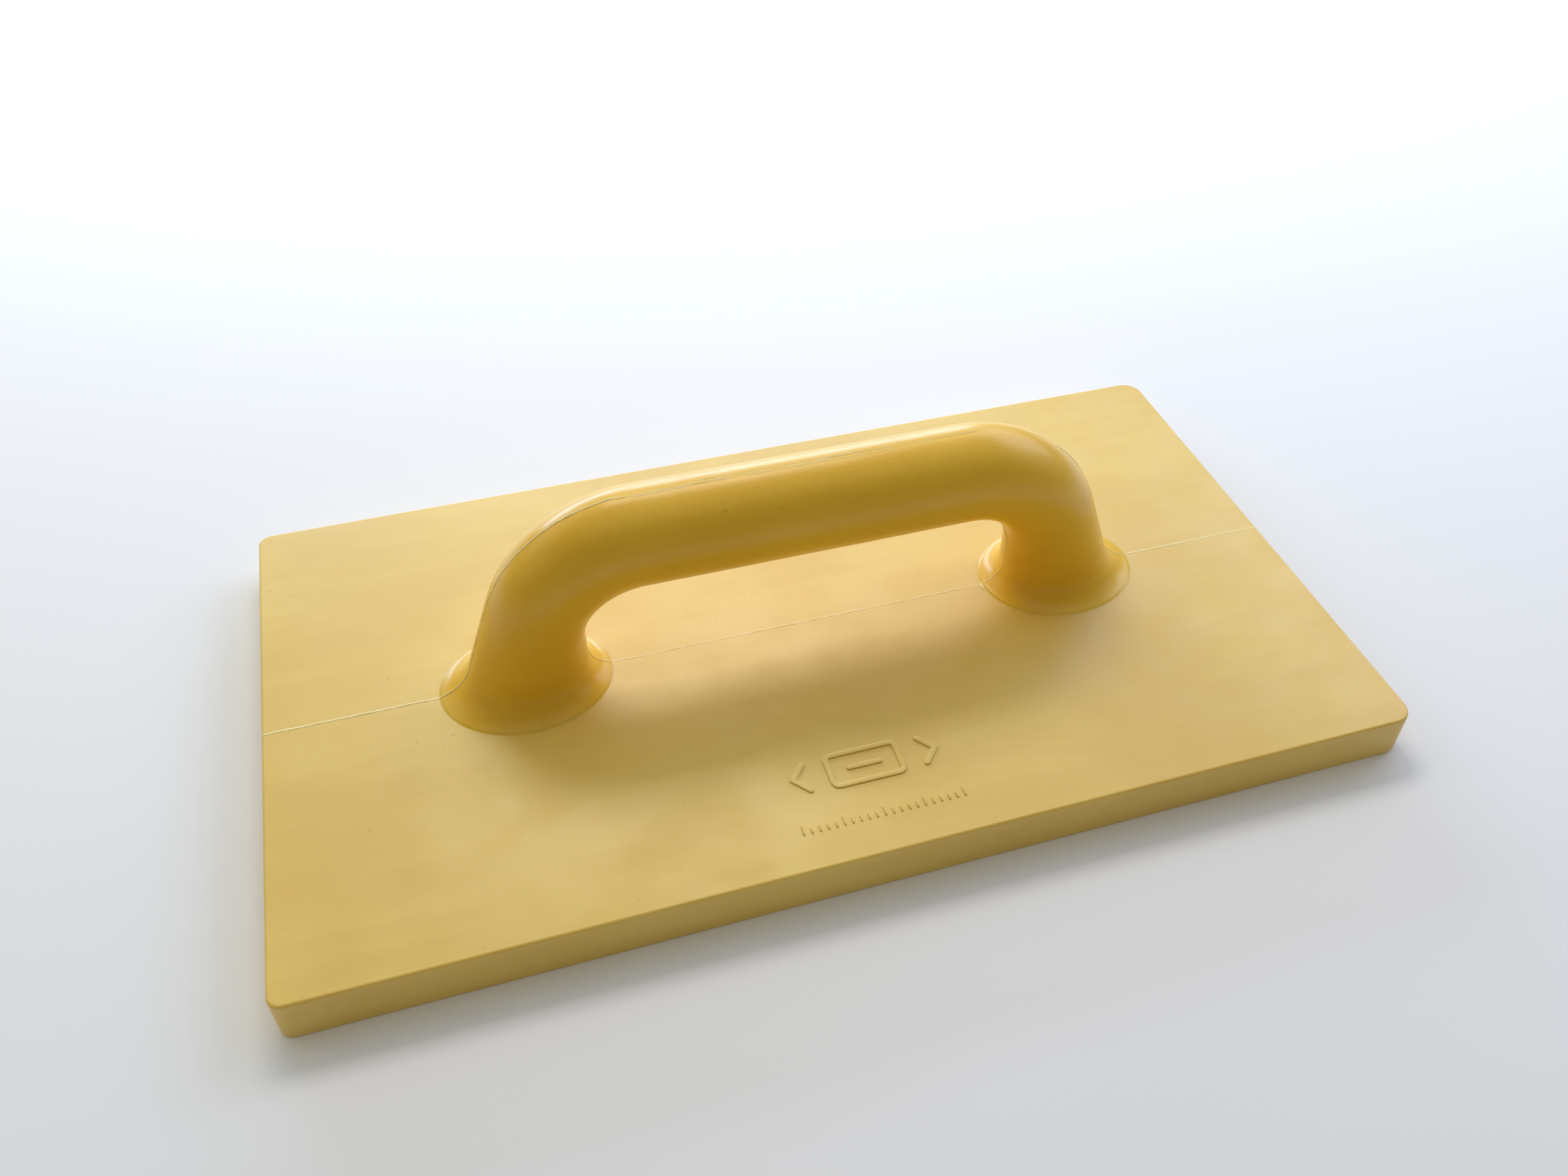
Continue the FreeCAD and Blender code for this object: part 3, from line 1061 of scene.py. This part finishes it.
class TickRow(Recipe):
    """Repeats one tick along a row, with every fifth tick longer."""

    NAME = "row_of_ticks"
    NUMBERS = {"Count": 21, "Every": 5, "Pitch": 2.6 * MM, "Stretch": 1.5, "Foot": 0.0}

    def shape(self) -> Socket:
        """Lays a line of points and puts a tick on each."""
        tree, given = self.tree, self.given
        spare = tree.math("SUBTRACT", given["Count"], 1.0)
        start = tree.math("MULTIPLY", tree.math("MULTIPLY", spare, given["Pitch"]), -0.5)
        first = tree.out("ShaderNodeCombineXYZ", {0: start, 1: given["Foot"]})
        step = tree.out("ShaderNodeCombineXYZ", {0: given["Pitch"]})
        inputs = {"Count": given["Count"], "Start Location": first, "Offset": step}
        row = tree.out("GeometryNodeMeshLine", inputs, mode="OFFSET")
        index = tree.out("GeometryNodeInputIndex")
        plain = tree.math("GREATER_THAN", tree.math("MODULO", index, given["Every"]), 0.5)
        longer = tree.math("MULTIPLY_ADD", tree.math("SUBTRACT", 1.0, plain), given["Stretch"], plain)
        scale = tree.out("ShaderNodeCombineXYZ", {0: 1.0, 1: longer, 2: 1.0})
        inputs = {"Points": row, "Instance": given["Source"], "Scale": scale}
        return tree.out("GeometryNodeInstanceOnPoints", inputs)


ROUND_END_TURNS = (4, 14, 26, 40, 55, 72)  # degrees round a stroke's end
STROKE_PITCH = 1.5 * MM
ARM_STEPS, PLAN_CORNER_STEPS = 4, 6


@dataclass
class RaisedMark:
    """The raised mark: a board seen from above between two chevrons, over a row of ticks.

    Attributes:
        stroke: Width of the bold strokes.
        row: Middle of the bold row along Y.
        plan: Length and width of the board's outline.
        bar: Length of the bar inside it.
        chevron_offset: Middle of the mark to a chevron.
        chevron_arm: Length of a chevron's arm.
        chevron_slope: Slope of an arm, in degrees.
        tick_row: Middle of the ticks along Y.
        tick_width: Width of a tick.
        tick_height: Height of a plain tick.
        long_tick_height: Height of every fifth tick.
    """

    stroke: float = 1.9 * MM
    row: float = -66.3 * MM
    plan: tuple[float, float] = (25 * MM, 14 * MM)
    bar: float = 12 * MM
    chevron_offset: float = 21 * MM
    chevron_arm: float = 8.6 * MM
    chevron_slope: float = 50
    tick_row: float = -85.1 * MM
    tick_width: float = 0.6 * MM
    tick_height: float = 2.4 * MM
    long_tick_height: float = 3.7 * MM

    def __post_init__(self) -> None:
        """Reads the mark's height from the frame."""
        low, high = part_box("size_mark")
        self.base = low.z
        self.relief = high.z - low.z

    def section(self, place: Vector, direction: Vector, width: float, share: float = 1.0) -> Section:
        """A section across a stroke.

        Args:
            place: The stroke's middle there, at any height.
            direction: Which way the stroke runs.
            width: The stroke's width there.
            share: Share of the full relief.

        Returns:
            The section, centred at the board's surface.
        """
        side = direction.normalized().cross(UP)
        centre = Vector((place.x, place.y, self.base))
        return Section(centre, UP, side, self.relief * share, width / 2)

    def round_end(self, end: Vector, inward: Vector, heading: Vector, width: float) -> list[Section]:
        """Sections of a half-round end.

        Args:
            end: The stroke's end.
            inward: The direction from it into the stroke.
            heading: Which way the stroke runs.
            width: The stroke's width.

        Returns:
            The sections, from the end inwards.
        """
        sections = []
        for turn in [math.radians(angle) for angle in ROUND_END_TURNS]:
            place = end + inward * width / 2 * (1 - math.cos(turn))
            sections.append(self.section(place, heading, width * math.sin(turn), math.sin(turn) ** 0.35))
        return sections

    def round_ended(self, points: list[Vector], width: float) -> list[Section]:
        """Sections of a stroke with half-round ends.

        Args:
            points: Ends of the stroke's middle line, with the corner between them if it has one.
            width: The stroke's width.

        Returns:
            The sections.
        """
        first = (points[1] - points[0]).normalized()
        last = (points[-1] - points[-2]).normalized()
        inner_start = points[0] + first * width / 2
        inner_end = points[-1] - last * width / 2
        sections = self.round_end(points[0], first, first, width)
        if len(points) == 2:
            steps = max(int(((points[1] - points[0]).length - width) / STROKE_PITCH), 2)
            middle = [inner_start.lerp(inner_end, i / steps) for i in range(steps + 1)]
            sections += [self.section(place, first, width) for place in middle]
        else:
            corner = points[1]
            mitre = width / math.cos(first.angle(last) / 2)
            parts = [i / ARM_STEPS for i in range(ARM_STEPS + 1)]
            sections += [self.section(inner_start.lerp(corner, part), first, width) for part in parts[:-1]]
            sections.append(self.section(corner, first + last, mitre))
            sections += [self.section(corner.lerp(inner_end, part), last, width) for part in parts[1:]]
        return sections + self.round_end(points[-1], -last, last, width)[::-1]

    def plan_loop(self) -> list[Section]:
        """Sections round the outline of the small board."""
        length, width = self.plan[0] - self.stroke, self.plan[1] - self.stroke
        radius = self.stroke
        sections = []
        for (x_sign, y_sign), start in CORNERS.items():
            hub = Vector((x_sign * (length / 2 - radius), self.row + y_sign * (width / 2 - radius), 0))
            for turn in [start + 90 * step / PLAN_CORNER_STEPS for step in range(PLAN_CORNER_STEPS + 1)]:
                place = hub + radius * level_way(turn)
                sections.append(self.section(place, level_way(turn + 90), self.stroke))
        return sections

    def strokes(self) -> list[list[Section]]:
        """Sections of the bar and the two chevrons."""
        half = Vector((self.bar / 2, 0, 0))
        middle = Vector((0, self.row, 0))
        runs = [self.round_ended([middle - half, middle + half], self.stroke)]
        reach = (self.chevron_arm - self.stroke / 2) * level_way(self.chevron_slope)
        for side in Side:
            tip = Vector((side.value * (self.chevron_offset + reach.x / 2), self.row, 0))
            lower, upper = (tip + Vector((-side.value * reach.x, sign * reach.y, 0)) for sign in (-1, 1))
            runs.append(self.round_ended([lower, tip, upper], self.stroke))
        return runs

    def tick(self, sweeper: Sweeper, finish: Material) -> Object:
        """Makes one plain tick, standing on the origin of its row."""
        sections = self.round_ended([Vector((0, 0, 0)), Vector((0, self.tick_height, 0))], self.tick_width)
        return sweeper.sweep("tick", [sections], finish, points_around=12, squareness=0.6)

    def dress(self, sweeper: Sweeper, finish: Material) -> None:
        """Makes the mark.

        Args:
            sweeper: Makes the swept strokes.
            finish: Their material.
        """
        bold = {"points_around": 20, "squareness": 0.45}
        plan = sweeper.sweep("mark_plan", [self.plan_loop()], finish, closed=True, **bold)
        strokes = sweeper.sweep("mark_strokes", self.strokes(), finish, **bold)
        stretch = self.long_tick_height / self.tick_height
        foot = self.tick_row - self.long_tick_height / 2
        tick = self.tick(sweeper, finish)
        ticks = TickRow().run(tick, "mark_ticks", finish, stretch=stretch, foot=foot)
        for piece in (plan, strokes, ticks):
            settle(piece, Slot.BOARD, "size_mark")


# ---------------------------------------------------------------- the foam inside


@dataclass(frozen=True)
class Cores:
    """The foam inside the board and the handle, which keeps its CAD shape."""

    nodes: tuple[str, ...] = ("board_core", "handle_core")

    def dress(self, finish: Material) -> None:
        """Gives the foam its finish.

        Args:
            finish: The foam's material.
        """
        for name in self.nodes:
            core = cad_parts[name]
            for place in core.material_slots:
                place.material = finish
            log.info("%s: foam finish", name)


# ---------------------------------------------------------------- the studio


@dataclass(frozen=True)
class SoftBox:
    """A large soft light aimed at the middle of the float.

    Attributes:
        name: The light's name.
        azimuth: Where it stands, in degrees round from the near side towards +X.
        elevation: Its height above the horizon, in degrees.
        distance: Its distance from the float.
        size: Its width and height.
        power: Its strength, in watts.
        colour: Its colour.
    """

    name: str
    azimuth: float
    elevation: float
    distance: float
    size: tuple[float, float]
    power: float
    colour: Colour

    def hang(self, target: Vector) -> None:
        """Adds the light.

        Args:
            target: What it is aimed at.
        """
        away = studio_way(self.azimuth, self.elevation)
        data = bpy.data.lights.new(self.name, "AREA")
        data.shape = "RECTANGLE"
        data.size, data.size_y = self.size
        data.energy = self.power
        data.color = self.colour
        facing = away.to_track_quat("Z", "Y")
        stand(self.name, data).matrix_world = Matrix.LocRotScale(target + away * self.distance, facing, None)


@dataclass(frozen=True)
class Camera:
    """The view of the float.

    Attributes:
        place: The lens's place, measured from the middle of the board's top face.
        azimuth: Where it stands, in degrees round from the near side towards +X.
        elevation: Its angle above the horizon, in degrees.
        roll: Its lean, in degrees.
        lens: Focal length in millimetres, on a 36 mm wide sensor.
        shift: Sideways and upward shift.
    """

    place: Vector
    azimuth: float
    elevation: float
    roll: float
    lens: float
    shift: tuple[float, float]

    def set_up(self, top: float) -> None:
        """Adds the camera.

        Args:
            top: Height of the board's top face.
        """
        level = (-studio_way(self.azimuth, self.elevation)).to_track_quat("-Z", "Y")
        lean = Quaternion((0, 0, 1), math.radians(self.roll))
        data = bpy.data.cameras.new("camera")
        data.lens = self.lens
        data.sensor_width = 36
        data.sensor_fit = "HORIZONTAL"
        data.shift_x, data.shift_y = self.shift
        data.clip_start, data.clip_end = 0.02, 20
        camera = stand("camera", data)
        camera.matrix_world = Matrix.LocRotScale(self.place + top * UP, level @ lean, None)
        bpy.context.scene.camera = camera


@dataclass(frozen=True)
class Studio:
    """The floor, the lights, the air and the camera.

    Attributes:
        lights: The soft lights.
        camera: The view.
        floor: The floor's finish.
        floor_size: The floor's width.
        air: Colour of the light from all round.
        air_strength: Its strength.
    """

    lights: tuple[SoftBox, ...]
    camera: Camera
    floor: Finish
    floor_size: float
    air: Colour
    air_strength: float

    def lay_floor(self) -> None:
        """Adds the floor just under the sole."""
        half, height = self.floor_size / 2, -0.05 * MM
        mesh = bpy.data.meshes.new("floor")
        mesh.from_pydata([(half * x, half * y, height) for x, y in CORNERS], [], [(0, 1, 2, 3)])
        mesh.materials.append(self.floor.make())
        floor = stand("floor", mesh)

    def set_up(self, top: float) -> None:
        """Adds everything that surrounds the float.

        Args:
            top: Height of the board's top face.
        """
        self.lay_floor()
        for light in self.lights:
            light.hang(Vector((0, 0, top)))
        self.camera.set_up(top)
        scene = bpy.context.scene
        scene.view_settings.view_transform = "Standard"
        world = bpy.data.worlds.new("air")
        world.use_nodes = True
        background = world.node_tree.nodes["Background"]
        background.inputs["Color"].default_value = (*self.air, 1)
        background.inputs["Strength"].default_value = self.air_strength
        scene.world = world
        log.info("studio: %d lights", len(self.lights))


STUDIO = Studio(
    lights=(
        SoftBox("low_window", 182, 14, 1.2, (1.3, 0.2), 7.2, (0.76, 1.0, 1.35)),
        SoftBox("window", 176, 53, 1.15, (0.56, 0.3), 4.1, (1.0, 0.92, 0.84)),
        SoftBox("side_window", 122, 33, 1.3, (1.1, 0.7), 4.9, (0.92, 1.0, 1.3)),
        SoftBox("far_corner", 225, 35, 1.8, (1.4, 1.0), 4, (1.0, 0.97, 0.85)),
        SoftBox("ceiling", 180, 86, 1.7, (2.0, 2.0), 3.8, (0.74, 1.0, 1.2)),
        SoftBox("right_wall", 90, 30, 1.8, (1.4, 1.0), 2.6, (0.9, 1.0, 1.2)),
        SoftBox("left_wall", 270, 30, 1.8, (1.4, 1.0), 2, (1.0, 0.84, 0.5)),
    ),
    camera=Camera(
        place=Vector((-98.6, -312.5, 324.4)) * MM,
        azimuth=-18.24,
        elevation=43.27,
        roll=1.17,
        lens=30.35,
        shift=(-0.02, 0.0004),
    ),
    floor=Finish("studio_paper", (0.90, 0.92, 0.95)),
    floor_size=8,
    air=(1.0, 0.87, 0.66),
    air_strength=0.22,
)

BOARD_SKIN = PolyurethaneSkin(
    name="board_skin_finish",
    pale=(0.83, 0.58, 0.08),
    deep=(0.77, 0.505, 0.045),
    speck=(0.58, 0.36, 0.02),
    roughness=(0.42, 0.52),
    grain=0.008 * MM,
    density=1.65,
    specular=0.75,
    depth=3 * MM,
    bloom=0.12,
)
HANDLE_SKIN = PolyurethaneSkin(
    name="handle_skin_finish",
    pale=(0.90, 0.555, 0.035),
    deep=(0.87, 0.52, 0.027),
    speck=(0.66, 0.40, 0.02),
    roughness=(0.34, 0.42),
    grain=0.004 * MM,
    density=1.5,
    specular=0.3,
    gloss=0.38,
    gloss_roughness=0.2,
    depth=4 * MM,
    clouds=22,
    trimmed=True,
)
# The flash's pale colours are painted glow: they stand in for back light shining through the thin flash and
# its scars.
FLASH_SKIN_PAINTED_GLOW = PolyurethaneSkin(
    name="flash_painted_glow_finish",
    pale=(0.98, 0.84, 0.42),
    deep=(0.95, 0.76, 0.3),
    speck=(0.7, 0.5, 0.12),
    roughness=(0.42, 0.55),
    grain=0.01 * MM,
    density=1.5,
    specular=0.5,
    depth=0.3 * MM,
    glow=0.0,
    clouds=120,
)
# The second colour is painted shade inside the foam's cells.
FOAM = FoamCore("foam_finish", (0.86, 0.72, 0.38), (0.55, 0.38, 0.13), 1400)


def main() -> None:
    """Builds the float and its studio."""
    logging.basicConfig(level=logging.INFO, format="%(name)s: %(message)s")
    board = Board()
    handle = BowHandle()
    STUDIO.set_up(board.top)
    sweeper = Sweeper()
    board_finish = BOARD_SKIN.make()
    board.dress(board_finish)
    handle.dress(sweeper, HANDLE_SKIN.make())
    FlashLine(board, handle).dress(sweeper, FLASH_SKIN_PAINTED_GLOW.make())
    RaisedMark().dress(sweeper, board_finish)
    Cores().dress(FOAM.make())


if __name__ == "__main__":
    main()
